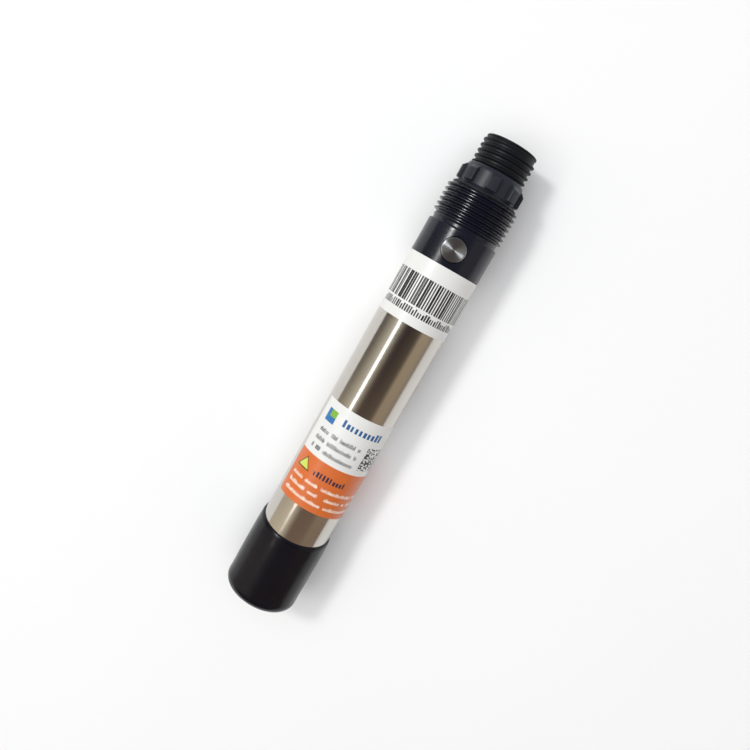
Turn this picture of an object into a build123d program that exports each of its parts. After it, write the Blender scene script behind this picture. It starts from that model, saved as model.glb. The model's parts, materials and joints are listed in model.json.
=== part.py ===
from build123d import *

import os
from math import cos, radians, sin

os.makedirs("parts", exist_ok=True)

# Optical dissolved-oxygen probe for water, lying on its side on a bench.
# +X runs along the probe, from the protective cap at its wet end to the cable connector.
# +Z is up, towards the labels' fronts and the temperature disc.
# Stations are distances along the probe, in mm, from the closed end of the protective cap.
# Radii are measured from the probe's axis.

# ---------------------------------------------------------------- driving dimensions
overall_length = 185.4
tube_r = 13.0  # outer radius of the steel tube and of the plastic housing beside it
tube_bore_r = 11.7
tube_start = 24.0
tube_end = 129.0
spigot_r = tube_bore_r - 0.05  # plastic ends pushed into the tube
seal_groove_w = 2.2
seal_groove_r = 10.2
seal_cord = 1.44
seal_gap = 0.02  # between a small O-ring and the walls of its groove
fit_gap = 0.05  # radial or axial clearance of a close fit

# protective cap: soft vinyl, pushed over the wet end
cap_bore_r = 13.05
cap_outer_r = 13.95
cap_end_wall = 1.2
cap_corner_r = 4.4
cap_mouth = 32.4  # station of the mouth on the probe's axis
cap_mouth_skew = 10.0  # degrees; the mouth is trimmed a little askew
sponge_r = 12.2
sponge_foot_r = 9.3
sponge_h = 3.0

# sensing head, inside the protective cap
nose_start = 14.6
nose_r = 10.5
nose_chamfer = 0.4
flange_start = 21.0
head_end = 40.0
head_bore_r = 8.6
window_r = 7.4
window_h = 1.5
window_ledge = 1.2  # width of the window seal
window_seal_h = 0.4
membrane_start = 12.0
membrane_r = 12.85
membrane_bore_r = nose_r + 0.4
membrane_wall = 1.4
membrane_window_r = 7.0
membrane_chamfer = 0.8
membrane_flutes = 16
flute_r = 1.2
flute_circle_r = membrane_r + 0.7
flute_start = membrane_start + 2
foil_h = 0.3
foil_r = membrane_bore_r - 0.1
foil_ring_w = 1.9
foil_ring_h = 0.6
gasket_h = 0.65
gasket_r = membrane_r - 0.25
gasket_bore_r = nose_r + 0.3

# upper housing with the process thread, G3/4 parallel: 26.441 mm over its crests
housing_start = 113.0
housing_shoulder = 152.6
housing_face = 166.4
housing_bore_r = 9.6
housing_chamfer = 0.35
housing_step = 0.6  # the mouth starts this far before the shoulder
process_major_r = 13.22
process_minor_r = 12.06
process_pitch = 1.814
process_crest_w = 0.30
process_flank_w = 0.605
process_ridges = 6
process_last = 165.6  # station of the ridge nearest the connector

# temperature disc, let into the housing's side
disc_station = 146.1
disc_r = 4.3
disc_face_r = 12.85
disc_depth = 3.4
disc_chamfer = 0.35
disc_hole_r = disc_r + 0.1

# cable connector: M20x2 outer thread on a round socket with five contacts
body_start = 157.0
body_spigot_r = 8.6
mouth_r = body_spigot_r + fit_gap  # bores that take the connector's spigot
rim_r = 9.35
rim_w = 0.6
socket_r = 7.0
key_w = 1.6
key_h = 0.9
key_setback = 2.0  # from the rim
cable_major_r = 9.95
cable_minor_r = 9.1
cable_pitch = 2.0
cable_crest_w = 0.25
cable_flank_w = 0.55
cable_ridges = 5
cable_first = 175.95  # station of the ridge nearest the lock ring
contact_count = 5
contact_circle_r = 3.8
contact_r = 0.8
contact_start = 160.0
contact_end = 180.2
insert_start = 163.0
insert_end = 171.0

# lock ring with eight grip lugs, screwed down on the connector
ring_start = 166.75
ring_end = 175.05
ring_base_r = 10.5
ring_flange_r = 12.1
ring_lugs = 8
ring_lug_r = 11.9
ring_lug_w = 4.0
ring_lug_turn = 2.0  # degrees from +Z to the nearest lug
ring_lug_start = 168.25
ring_lug_end = 173.9
ring_bevel_end = 168.05
dome_start = 173.2
dome_top_r = 9.9
dome_bulge_r = 2.4

# labels
label_h = 0.06
label_middle_r = tube_r + label_h / 2 + 0.005
barcode_start = 117.4
barcode_end = 139.9
product_start = 43.2
product_end = 82.1
product_left = -64.0  # degrees about the axis from +Z, positive towards -Y
product_arc = 264.0

# electronics
board_start = 50.0
board_end = 108.0
board_w = 18.0
board_top = 0.6  # heights are from the probe's axis
board_h = 1.6
carrier_r = 11.4
carrier_wall = 1.1
post_r = 1.9
post_h = 8.0
screw_shank_r = 0.88
screw_head_r = 1.7
screw_head_h = 1.1
block_start = 18.0
block_end = 30.0
block_r = head_bore_r - 0.1
optics_board_h = 1.2
optics_screw_y = 6.3
optics_screw_r = 0.8
optics_screw_head_r = 1.5
optics_screw_head_h = 0.9
optics_screw_depth = 5.0
led_spots = {"excitation_led": (3.5, 2.7), "reference_led": (-3.5, 2.7)}
led_r = 1.5
diode_spot = (0.0, -3.6)
diode_r = 2.0
diode_h = 3.0
filter_h = 1.5

# ---------------------------------------------------------------- shared frame
tip_x = -overall_length / 2
axis_z = cap_outer_r  # the cap rests on the bench
probe_axis = Axis((tip_x, 0, axis_z), (1, 0, 0))


def radial_plane(degrees):
    """The plane through the axis at this angle from +Z: x is the station, y the radius."""
    a = radians(degrees)
    return Plane(origin=(tip_x, 0, axis_z), x_dir=(1, 0, 0), z_dir=(0, -cos(a), -sin(a)))


def cross_plane(station):
    """The plane across the probe at this station: x is +Y, y is +Z."""
    return Plane(origin=(tip_x + station, 0, axis_z), x_dir=(0, 1, 0), z_dir=(1, 0, 0))


def level_plane(height):
    """The level plane at this height from the axis: x is the station, y is +Y."""
    return Plane(origin=(tip_x, 0, axis_z + height), x_dir=(1, 0, 0), z_dir=(0, 0, 1))


def turned(outline):
    """The face inside a closed outline of (station, radius) points."""
    with BuildSketch(radial_plane(0)) as profile:
        with BuildLine():
            Polyline(*outline, close=True)
        make_face()
    return profile.sketch


def ridge_points(first, count, pitch, minor_r, major_r, crest_w, flank_w):
    """Outline points of a thread's ridges, from the first one towards the connector."""
    points = []
    for i in range(count):
        centre = first + i * pitch
        points.append((centre - crest_w / 2 - flank_w, minor_r))
        points.append((centre - crest_w / 2, major_r))
        points.append((centre + crest_w / 2, major_r))
        points.append((centre + crest_w / 2 + flank_w, minor_r))
    return points


def groove_points(start, width, outer_r, floor_r):
    """Outline points of a square groove in an outer wall."""
    end = start + width
    return [(start, outer_r), (start, floor_r), (end, floor_r), (end, outer_r)]


def wire(points, bend_r, wire_r):
    """A round wire along (station, y, height) points, with its corners bent to bend_r."""
    route = [(tip_x + s, y, axis_z + z) for s, y, z in points]
    with BuildPart() as one:
        with BuildLine() as path:
            FilletPolyline(*route, radius=bend_r)
        with BuildSketch(Plane(origin=path.line @ 0, z_dir=path.line % 0)):
            Circle(wire_r)
        sweep(path=path.line)
    return one.part


# ================================================================ wet end
# Protective cap: a thin cup with a large rounded corner and a skewed mouth
cap_skew_rise = cap_outer_r * sin(radians(cap_mouth_skew))
cap_blank_end = cap_mouth + cap_skew_rise + 2
with BuildPart() as protective_cap:
    with BuildSketch(radial_plane(0)):
        with BuildLine():
            Line((0, 0), (0, cap_outer_r - cap_corner_r))
            RadiusArc(
                (0, cap_outer_r - cap_corner_r), (cap_corner_r, cap_outer_r), cap_corner_r
            )
            Line((cap_corner_r, cap_outer_r), (cap_blank_end, cap_outer_r))
            Line((cap_blank_end, cap_outer_r), (cap_blank_end, cap_bore_r))
            Line((cap_blank_end, cap_bore_r), (cap_corner_r, cap_bore_r))
            RadiusArc(
                (cap_corner_r, cap_bore_r),
                (cap_end_wall, cap_bore_r - cap_corner_r + cap_end_wall),
                cap_end_wall - cap_corner_r,
            )
            Line(
                (cap_end_wall, cap_bore_r - cap_corner_r + cap_end_wall), (cap_end_wall, 0)
            )
            Line((cap_end_wall, 0), (0, 0))
        make_face()
    revolve(axis=probe_axis)
    mouth_normal = (cos(radians(cap_mouth_skew)), 0, sin(radians(cap_mouth_skew)))
    mouth_plane = Plane(origin=(tip_x + cap_mouth, 0, axis_z), z_dir=mouth_normal)
    split(bisect_by=mouth_plane, keep=Keep.BOTTOM)
protective_cap.part.label = "protective_cap"
export_step(protective_cap.part, "parts/protective_cap.step")

# Storage sponge: kept damp in the bottom of the protective cap
with BuildPart() as storage_sponge:
    with BuildSketch(cross_plane(cap_end_wall)):
        Circle(sponge_foot_r)
    with BuildSketch(cross_plane(cap_end_wall + sponge_h)):
        Circle(sponge_r)
    loft()
storage_sponge.part.label = "storage_sponge"
export_step(storage_sponge.part, "parts/storage_sponge.step")

# Membrane cap: screws onto the nose and carries the sensing foil
membrane_end = flange_start - gasket_h - 2 * fit_gap
membrane_inner = membrane_start + membrane_wall
with BuildPart() as membrane_cap:
    membrane_outline = [
        (membrane_start, membrane_window_r),
        (membrane_start, membrane_r - membrane_chamfer),
        (membrane_start + membrane_chamfer, membrane_r),
        (membrane_end, membrane_r),
        (membrane_end, membrane_bore_r),
        (membrane_inner, membrane_bore_r),
        (membrane_inner, membrane_window_r),
    ]
    revolve(turned(membrane_outline), axis=probe_axis)
    with BuildSketch(cross_plane(flute_start)):
        with PolarLocations(flute_circle_r, membrane_flutes):
            Circle(flute_r)
    extrude(amount=membrane_end - membrane_start, mode=Mode.SUBTRACT)
membrane_cap.part.label = "membrane_cap"
export_step(membrane_cap.part, "parts/membrane_cap.step")

# Sensing foil: the fluorescent disc behind the membrane cap's window
with BuildPart() as sensing_foil:
    with BuildSketch(cross_plane(membrane_inner)):
        Circle(foil_r)
    extrude(amount=foil_h)
sensing_foil.part.label = "sensing_foil"
export_step(sensing_foil.part, "parts/sensing_foil.step")

# Foil ring: holds the foil's edge against the membrane cap's end wall
with BuildPart() as foil_ring:
    with BuildSketch(cross_plane(membrane_inner + foil_h)):
        Circle(foil_r)
        Circle(foil_r - foil_ring_w, mode=Mode.SUBTRACT)
    extrude(amount=foil_ring_h)
foil_ring.part.label = "foil_ring"
export_step(foil_ring.part, "parts/foil_ring.step")

# Membrane gasket: flat rubber ring between the membrane cap and the head's flange
with BuildPart() as membrane_gasket:
    with BuildSketch(cross_plane(flange_start - gasket_h - fit_gap)):
        Circle(gasket_r)
        Circle(gasket_bore_r, mode=Mode.SUBTRACT)
    extrude(amount=gasket_h)
membrane_gasket.part.label = "membrane_gasket"
export_step(membrane_gasket.part, "parts/membrane_gasket.step")

# ================================================================ sensing head
window_start = nose_start + 0.1
window_end = window_start + window_h
window_seat = window_end + window_seal_h
head_groove_starts = [27.5, 33.0]
with BuildPart() as sensor_head:
    head_outline = [
        (nose_start, window_r + fit_gap),
        (nose_start, nose_r - nose_chamfer),
        (nose_start + nose_chamfer, nose_r),
        (flange_start, nose_r),
        (flange_start, tube_r),
        (tube_start, tube_r),
        (tube_start, spigot_r),
    ]
    for start in head_groove_starts:
        head_outline += groove_points(start, seal_groove_w, spigot_r, seal_groove_r)
    head_outline += [
        (head_end, spigot_r),
        (head_end, head_bore_r),
        (block_start - 2 * fit_gap, head_bore_r),
        (block_start - 2 * fit_gap, window_r - window_ledge),
        (window_seat, window_r - window_ledge),
        (window_seat, window_r + fit_gap),
    ]
    revolve(turned(head_outline), axis=probe_axis)
sensor_head.part.label = "sensor_head"
export_step(sensor_head.part, "parts/sensor_head.step")

# Head window: clear disc that the light passes through
with BuildPart() as head_window:
    with BuildSketch(cross_plane(window_start)):
        Circle(window_r)
    extrude(amount=window_h)
head_window.part.label = "head_window"
export_step(head_window.part, "parts/head_window.step")

# Window seal: flat ring under the window's edge
with BuildPart() as window_seal:
    with BuildSketch(cross_plane(window_end)):
        Circle(window_r)
        Circle(window_r - window_ledge, mode=Mode.SUBTRACT)
    extrude(amount=window_seal_h)
window_seal.part.label = "window_seal"
export_step(window_seal.part, "parts/window_seal.step")

# Head seals: two O-rings in the head's grooves, against the tube's bore
seal_centre_r = seal_groove_r + (tube_bore_r - seal_groove_r) / 2
with BuildPart() as head_o_rings:
    with BuildSketch(radial_plane(0)):
        for start in head_groove_starts:
            with Locations((start + seal_groove_w / 2, seal_centre_r)):
                Circle(seal_cord / 2)
    revolve(axis=probe_axis)
head_o_rings.part.label = "head_o_rings"
export_step(head_o_rings.part, "parts/head_o_rings.step")

# Optics block: bored for the two lamps and the light sensor
with BuildPart() as optics_block:
    with BuildSketch(cross_plane(block_start)):
        Circle(block_r)
        for y, z in led_spots.values():
            with Locations((y, z)):
                Circle(led_r + fit_gap, mode=Mode.SUBTRACT)
        with Locations(diode_spot):
            Circle(diode_r + fit_gap, mode=Mode.SUBTRACT)
    extrude(amount=block_end - block_start)
    with BuildSketch(cross_plane(block_end)):
        with Locations((-optics_screw_y, 0), (optics_screw_y, 0)):
            Circle(optics_screw_r)
    extrude(amount=-optics_screw_depth, mode=Mode.SUBTRACT)
optics_block.part.label = "optics_block"
export_step(optics_block.part, "parts/optics_block.step")

# Lamps: a blue one that excites the foil, and a red one as the reference
lamp_base = block_end - 4.5
for lamp_name, (y, z) in led_spots.items():
    with BuildPart() as lamp:
        with BuildSketch(cross_plane(lamp_base)):
            with Locations((y, z)):
                Circle(led_r)
        extrude(amount=block_end - lamp_base)
        with Locations((tip_x + lamp_base, y, axis_z + z)):
            Sphere(led_r)
    lamp.part.label = lamp_name
    export_step(lamp.part, "parts/" + lamp_name + ".step")

# Photodiode: reads the light that the foil gives back
with BuildPart() as photodiode:
    with BuildSketch(cross_plane(block_end - diode_h)):
        with Locations(diode_spot):
            Circle(diode_r)
    extrude(amount=diode_h)
photodiode.part.label = "photodiode"
export_step(photodiode.part, "parts/photodiode.step")

# Optical filter: in front of the photodiode
filter_start = block_end - diode_h - 0.5 - filter_h
with BuildPart() as optical_filter:
    with BuildSketch(cross_plane(filter_start)):
        with Locations(diode_spot):
            Circle(diode_r)
    extrude(amount=filter_h)
optical_filter.part.label = "optical_filter"
export_step(optical_filter.part, "parts/optical_filter.step")

# Optics board: small round circuit board behind the block
with BuildPart() as optics_board:
    with BuildSketch(cross_plane(block_end)):
        Circle(block_r)
        with Locations((-optics_screw_y, 0), (optics_screw_y, 0)):
            Circle(optics_screw_r + 2 * fit_gap, mode=Mode.SUBTRACT)
    extrude(amount=optics_board_h)
optics_board.part.label = "optics_board"
export_step(optics_board.part, "parts/optics_board.step")

# Optics screws: two, holding the board to the block
with BuildPart() as optics_screws:
    with BuildSketch(cross_plane(block_end + optics_board_h)):
        with Locations((-optics_screw_y, 0), (optics_screw_y, 0)):
            Circle(optics_screw_r - 0.02)
    extrude(amount=-optics_screw_depth)
    with BuildSketch(cross_plane(block_end + optics_board_h)):
        with Locations((-optics_screw_y, 0), (optics_screw_y, 0)):
            Circle(optics_screw_head_r)
    extrude(amount=optics_screw_head_h)
optics_screws.part.label = "optics_screws"
export_step(optics_screws.part, "parts/optics_screws.step")

# ================================================================ tube and labels
with BuildPart() as steel_tube:
    with BuildSketch(cross_plane(tube_start)):
        Circle(tube_r)
        Circle(tube_bore_r, mode=Mode.SUBTRACT)
    extrude(amount=tube_end - tube_start)
    chamfer(steel_tube.edges().filter_by(GeomType.CIRCLE), length=0.2)
steel_tube.part.label = "steel_tube"
export_step(steel_tube.part, "parts/steel_tube.step")

# Product label: wraps two thirds of the way round the tube
with BuildPart() as product_label:
    with BuildSketch(radial_plane(product_left)):
        with Locations(((product_start + product_end) / 2, label_middle_r)):
            Rectangle(product_end - product_start, label_h)
    revolve(axis=probe_axis, revolution_arc=product_arc)
product_label.part.label = "product_label"
export_step(product_label.part, "parts/product_label.step")

# Barcode label: wraps round the joint of tube and housing, its ends not quite meeting
barcode_arc = 354.0
with BuildPart() as barcode_label:
    with BuildSketch(radial_plane(180 + (360 - barcode_arc) / 2)):
        with Locations(((barcode_start + barcode_end) / 2, label_middle_r)):
            Rectangle(barcode_end - barcode_start, label_h)
    revolve(axis=probe_axis, revolution_arc=barcode_arc)
barcode_label.part.label = "barcode_label"
export_step(barcode_label.part, "parts/barcode_label.step")

# ================================================================ upper housing
housing_groove_starts = [116.4, 122.4]
process_first = process_last - (process_ridges - 1) * process_pitch
with BuildPart() as upper_housing:
    housing_outline = [(housing_start, housing_bore_r), (housing_start, spigot_r)]
    for start in housing_groove_starts:
        housing_outline += groove_points(start, seal_groove_w, spigot_r, seal_groove_r)
    housing_outline += [
        (tube_end, spigot_r),
        (tube_end, tube_r),
        (housing_shoulder - housing_chamfer, tube_r),
        (housing_shoulder, tube_r - housing_chamfer),
        (housing_shoulder, process_minor_r),
    ]
    housing_outline += ridge_points(
        process_first,
        process_ridges,
        process_pitch,
        process_minor_r,
        process_major_r,
        process_crest_w,
        process_flank_w,
    )
    housing_outline += [
        (housing_face, process_minor_r),
        (housing_face, mouth_r),
        (housing_shoulder - housing_step, mouth_r),
        (housing_shoulder - housing_step, housing_bore_r),
    ]
    revolve(turned(housing_outline), axis=probe_axis)
    with BuildSketch(level_plane(0)):
        with Locations((disc_station, 0)):
            Circle(disc_hole_r)
    extrude(amount=tube_r + 1, mode=Mode.SUBTRACT)
upper_housing.part.label = "upper_housing"
export_step(upper_housing.part, "parts/upper_housing.step")

# Housing seals: two O-rings in the housing's grooves, against the tube's bore
with BuildPart() as housing_o_rings:
    with BuildSketch(radial_plane(0)):
        for start in housing_groove_starts:
            with Locations((start + seal_groove_w / 2, seal_centre_r)):
                Circle(seal_cord / 2)
    revolve(axis=probe_axis)
housing_o_rings.part.label = "housing_o_rings"
export_step(housing_o_rings.part, "parts/housing_o_rings.step")

# Temperature disc: stainless slug with a seal groove and a pocket for the thermistor
disc_back = disc_face_r - disc_depth
disc_groove_z = disc_back + 1.2
disc_groove_h = 1.1
disc_groove_r = disc_r - 0.8
pocket_r = 1.1
pocket_depth = 2.0
with BuildPart() as temperature_disc:
    with BuildSketch(level_plane(disc_back)):
        with Locations((disc_station, 0)):
            Circle(disc_r)
    extrude(amount=disc_depth)
    face_edges = temperature_disc.edges().filter_by(GeomType.CIRCLE).group_by(Axis.Z)[-1]
    chamfer(face_edges, length=disc_chamfer)
    with BuildSketch(level_plane(disc_groove_z)):
        with Locations((disc_station, 0)):
            Circle(disc_r + 1)
            Circle(disc_groove_r, mode=Mode.SUBTRACT)
    extrude(amount=disc_groove_h, mode=Mode.SUBTRACT)
    with BuildSketch(level_plane(disc_back)):
        with Locations((disc_station, 0)):
            Circle(pocket_r)
    extrude(amount=pocket_depth, mode=Mode.SUBTRACT)
temperature_disc.part.label = "temperature_disc"
export_step(temperature_disc.part, "parts/temperature_disc.step")

# Disc seal: O-ring round the temperature disc
disc_cord = disc_hole_r - disc_groove_r - 2 * seal_gap
with BuildPart() as disc_o_ring:
    disc_middle = (tip_x + disc_station, 0, axis_z + disc_groove_z + disc_groove_h / 2)
    with BuildSketch(Plane(origin=disc_middle, x_dir=(1, 0, 0), z_dir=(0, -1, 0))):
        with Locations((disc_groove_r + disc_cord / 2 + seal_gap, 0)):
            Circle(disc_cord / 2)
    revolve(axis=Axis(disc_middle, (0, 0, 1)))
disc_o_ring.part.label = "disc_o_ring"
export_step(disc_o_ring.part, "parts/disc_o_ring.step")

# Thermistor: glass bead in the disc's pocket
bead_r = pocket_r - 0.2
bead_z = disc_back + bead_r
with BuildPart() as thermistor:
    with Locations((tip_x + disc_station, 0, axis_z + bead_z)):
        Sphere(bead_r)
thermistor.part.label = "thermistor"
export_step(thermistor.part, "parts/thermistor.step")

# Thermistor leads: two fine wires down to the main board
lead_r = 0.2
lead_gap = 0.4
board_lead_y = 7.0
board_lead_s = 97.0
with BuildPart() as thermistor_leads:
    for side in (-1, 1):
        route = [
            (disc_station, side * lead_gap, bead_z - bead_r),
            (disc_station, side * lead_gap, 7.0),
            (120.0, board_lead_y + side * lead_gap, 5.0),
            (board_lead_s, board_lead_y + side * lead_gap, 4.0),
            (board_lead_s, board_lead_y + side * lead_gap, board_top),
        ]
        add(wire(route, 1.5, lead_r))
thermistor_leads.part.label = "thermistor_leads"
export_step(thermistor_leads.part, "parts/thermistor_leads.step")

# ================================================================ cable connector
body_groove_start = 159.8
body_groove_w = 1.4
body_groove_r = 7.6
collar_s = ring_end + 2 * fit_gap  # the connector's collar bears on the lock ring
key_start = insert_end
key_end = overall_length - key_setback
with BuildPart() as connector_body:
    body_outline = [(body_start, socket_r), (body_start, body_spigot_r)]
    body_outline += groove_points(
        body_groove_start, body_groove_w, body_spigot_r, body_groove_r
    )
    body_outline += [(collar_s, body_spigot_r), (collar_s, cable_minor_r)]
    body_outline += ridge_points(
        cable_first,
        cable_ridges,
        cable_pitch,
        cable_minor_r,
        cable_major_r,
        cable_crest_w,
        cable_flank_w,
    )
    body_outline += [
        (overall_length - rim_w - 0.15, cable_minor_r),
        (overall_length - rim_w, rim_r),
        (overall_length - rim_w / 2, rim_r),
        (overall_length, rim_r - rim_w / 2),
        (overall_length, socket_r),
    ]
    revolve(turned(body_outline), axis=probe_axis)
    # polarising key along the bottom of the socket
    with BuildSketch(radial_plane(180)):
        with Locations(((key_start + key_end) / 2, socket_r - key_h / 2 + 0.15)):
            Rectangle(key_end - key_start, key_h + 0.3)
    extrude(amount=key_w / 2, both=True)
connector_body.part.label = "connector_body"
export_step(connector_body.part, "parts/connector_body.step")

# Connector seal: O-ring round the connector's spigot, against the housing's bore
connector_cord = mouth_r - body_groove_r - 2 * seal_gap
with BuildPart() as connector_o_ring:
    with BuildSketch(radial_plane(0)):
        ring_centre = body_groove_r + connector_cord / 2 + seal_gap
        with Locations((body_groove_start + body_groove_w / 2, ring_centre)):
            Circle(connector_cord / 2)
    revolve(axis=probe_axis)
connector_o_ring.part.label = "connector_o_ring"
export_step(connector_o_ring.part, "parts/connector_o_ring.step")

# Connector gasket: flat ring between the housing's face and the lock ring
with BuildPart() as connector_gasket:
    with BuildSketch(cross_plane(housing_face)):
        Circle(ring_flange_r - 0.4)
        Circle(body_spigot_r + 2 * fit_gap, mode=Mode.SUBTRACT)
    extrude(amount=ring_start - housing_face)
connector_gasket.part.label = "connector_gasket"
export_step(connector_gasket.part, "parts/connector_gasket.step")

# Lock ring: domed shoulder, bevelled foot and eight raised lugs to grip
lug_root_r = ring_base_r - 0.6
with BuildPart() as lock_ring:
    with BuildSketch(radial_plane(0)):
        with BuildLine():
            Polyline(
                (dome_start, ring_base_r),
                (ring_bevel_end, ring_base_r + 0.1),
                (ring_start + 0.15, ring_flange_r),
                (ring_start, ring_flange_r),
                (ring_start, mouth_r),
                (ring_end, mouth_r),
                (ring_end, dome_top_r),
            )
            RadiusArc((ring_end, dome_top_r), (dome_start, ring_base_r), -dome_bulge_r)
        make_face()
    revolve(axis=probe_axis)
    for i in range(ring_lugs):
        with BuildSketch(radial_plane(ring_lug_turn + i * 360 / ring_lugs)):
            with BuildLine():
                Polyline(
                    (ring_lug_start, lug_root_r),
                    (ring_lug_start + 0.25, ring_lug_r),
                    (ring_lug_end - 1.4, ring_lug_r),
                    (ring_lug_end, ring_base_r),
                    (ring_lug_end, lug_root_r),
                    close=True,
                )
            make_face()
        extrude(amount=ring_lug_w / 2, both=True)
lock_ring.part.label = "lock_ring"
export_step(lock_ring.part, "parts/lock_ring.step")

# Contact insert: insulating disc that carries the contacts
with BuildPart() as contact_insert:
    with BuildSketch(cross_plane(insert_start)):
        Circle(socket_r - fit_gap)
        with PolarLocations(contact_circle_r, contact_count, start_angle=90):
            Circle(contact_r + 0.02, mode=Mode.SUBTRACT)
    extrude(amount=insert_end - insert_start)
contact_insert.part.label = "contact_insert"
export_step(contact_insert.part, "parts/contact_insert.step")

# Contacts: five pins with rounded tips
with BuildPart() as contact_pins:
    with BuildSketch(cross_plane(contact_start)):
        with PolarLocations(contact_circle_r, contact_count, start_angle=90):
            Circle(contact_r)
    extrude(amount=contact_end - contact_start)
    pin_tips = contact_pins.edges().filter_by(GeomType.CIRCLE).group_by(Axis.X)[-1]
    fillet(pin_tips, radius=0.5)
contact_pins.part.label = "contact_pins"
export_step(contact_pins.part, "parts/contact_pins.step")

# Potting plug: resin that seals the back of the connector, cast round the contacts
with BuildPart() as potting_plug:
    with BuildSketch(cross_plane(body_start + 0.2)):
        Circle(socket_r - fit_gap)
    extrude(amount=insert_start - body_start - 0.2)
potting_plug.part.label = "potting_plug"
export_step(potting_plug.part, "parts/potting_plug.step")

# ================================================================ electronics
board_bottom = board_top - board_h
board_mounts = [(54.0, -7.2), (54.0, 7.2), (104.0, -7.2), (104.0, 7.2)]
with BuildPart() as main_board:
    with BuildSketch(level_plane(board_bottom)):
        with Locations(((board_start + board_end) / 2, 0)):
            Rectangle(board_end - board_start, board_w)
        with Locations(*board_mounts):
            Circle(screw_shank_r + 0.15, mode=Mode.SUBTRACT)
    extrude(amount=board_h)
main_board.part.label = "main_board"
export_step(main_board.part, "parts/main_board.step")

# Board carrier: half-round tray with four posts under the board
carrier_start = board_start - 5
carrier_end = board_end + 4
with BuildPart() as board_carrier:
    with BuildSketch(cross_plane(carrier_start)):
        Circle(carrier_r)
        Circle(carrier_r - carrier_wall, mode=Mode.SUBTRACT)
        with Locations((0, carrier_r - 2)):
            Rectangle(2 * carrier_r + 2, 2 * carrier_r, mode=Mode.SUBTRACT)
    extrude(amount=carrier_end - carrier_start)
    with BuildSketch(level_plane(board_bottom)):
        with Locations(*board_mounts):
            Circle(post_r)
    extrude(amount=-post_h)
    with BuildSketch(cross_plane(carrier_start)):
        Circle(carrier_r)
    extrude(amount=carrier_end - carrier_start, mode=Mode.INTERSECT)
    with BuildSketch(level_plane(board_bottom)):
        with Locations(*board_mounts):
            Circle(screw_shank_r + 0.02)
    extrude(amount=-5, mode=Mode.SUBTRACT)
board_carrier.part.label = "board_carrier"
export_step(board_carrier.part, "parts/board_carrier.step")

# Board screws: four, through the board into the posts
with BuildPart() as board_screws:
    with BuildSketch(level_plane(board_top)):
        with Locations(*board_mounts):
            Circle(screw_head_r)
    extrude(amount=screw_head_h)
    with BuildSketch(level_plane(board_top)):
        with Locations(*board_mounts):
            Circle(screw_shank_r)
    extrude(amount=-6)
board_screws.part.label = "board_screws"
export_step(board_screws.part, "parts/board_screws.step")

# Chips and capacitors on the board: station, y, length, width, height
chip_sizes = {
    "processor": [(76.0, 0.0, 9.0, 9.0, 1.4)],
    "board_chips": [
        (62.0, -3.0, 5.0, 4.0, 1.5),
        (62.0, 4.0, 5.0, 4.0, 1.5),
        (95.0, -3.5, 6.0, 4.0, 1.6),
    ],
}
for chip_name, chips in chip_sizes.items():
    with BuildPart() as chip_group:
        for s, y, length, width, height in chips:
            with BuildSketch(level_plane(board_top)):
                with Locations((s, y)):
                    Rectangle(length, width)
            extrude(amount=height)
    chip_group.part.label = chip_name
    export_step(chip_group.part, "parts/" + chip_name + ".step")

with BuildPart() as board_capacitors:
    with BuildSketch(level_plane(board_top)):
        with Locations((87.0, -4.5), (87.0, 4.5), (68.5, 0.0)):
            Circle(2.2)
    extrude(amount=5)
board_capacitors.part.label = "board_capacitors"
export_step(board_capacitors.part, "parts/board_capacitors.step")

# Sockets: the harness plugs in at the connector's end, the optics at the wet end
socket_boxes = {
    "harness_socket": (board_end - 4.0, 6.0, 10.4, 3.8),
    "optics_socket": (board_start + 3.0, 4.0, 9.0, 3.2),
}
for socket_name, (s, length, width, height) in socket_boxes.items():
    with BuildPart() as board_socket:
        with BuildSketch(level_plane(board_top)):
            with Locations((s, 0)):
                Rectangle(length, width)
        extrude(amount=height)
    board_socket.part.label = socket_name
    export_step(board_socket.part, "parts/" + socket_name + ".step")

# Harness wires: one from each contact to its place in the socket's row
wire_r = 0.45
wire_row_z = board_top + 1.9
wire_row_gap = 2.0
socket_face = board_end - 1.0
contact_angles = [90 + i * 360 / contact_count for i in range(contact_count)]
contact_spots = [
    (contact_circle_r * cos(radians(a)), contact_circle_r * sin(radians(a)))
    for a in contact_angles
]
contact_spots.sort()
with BuildPart() as harness_wires:
    for i, (y, z) in enumerate(contact_spots):
        row_y = (i - (contact_count - 1) / 2) * wire_row_gap
        route = [
            (contact_start, y, z),
            (150.0, y, z),
            (124.0, row_y, wire_row_z),
            (socket_face, row_y, wire_row_z),
        ]
        add(wire(route, 4.0, wire_r))
harness_wires.part.label = "harness_wires"
export_step(harness_wires.part, "parts/harness_wires.step")

# Optics wires: four, with a hump of slack between the optics board and its socket
optics_back = block_end + optics_board_h
optics_row_z = board_top + 1.6
with BuildPart() as optics_wires:
    for row_y in (-3.0, -1.0, 1.0, 3.0):
        route = [
            (optics_back, row_y, optics_row_z),
            (35.0, row_y, optics_row_z),
            (40.5, row_y, optics_row_z + 2.5),
            (46.0, row_y, optics_row_z),
            (board_start + 1.0, row_y, optics_row_z),
        ]
        add(wire(route, 2.5, wire_r))
optics_wires.part.label = "optics_wires"
export_step(optics_wires.part, "parts/optics_wires.step")
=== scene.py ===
import json
from math import cos, pi, radians, sin, sqrt, tan

import bmesh
import bpy
import numpy as np
from mathutils import Matrix, Vector


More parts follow.
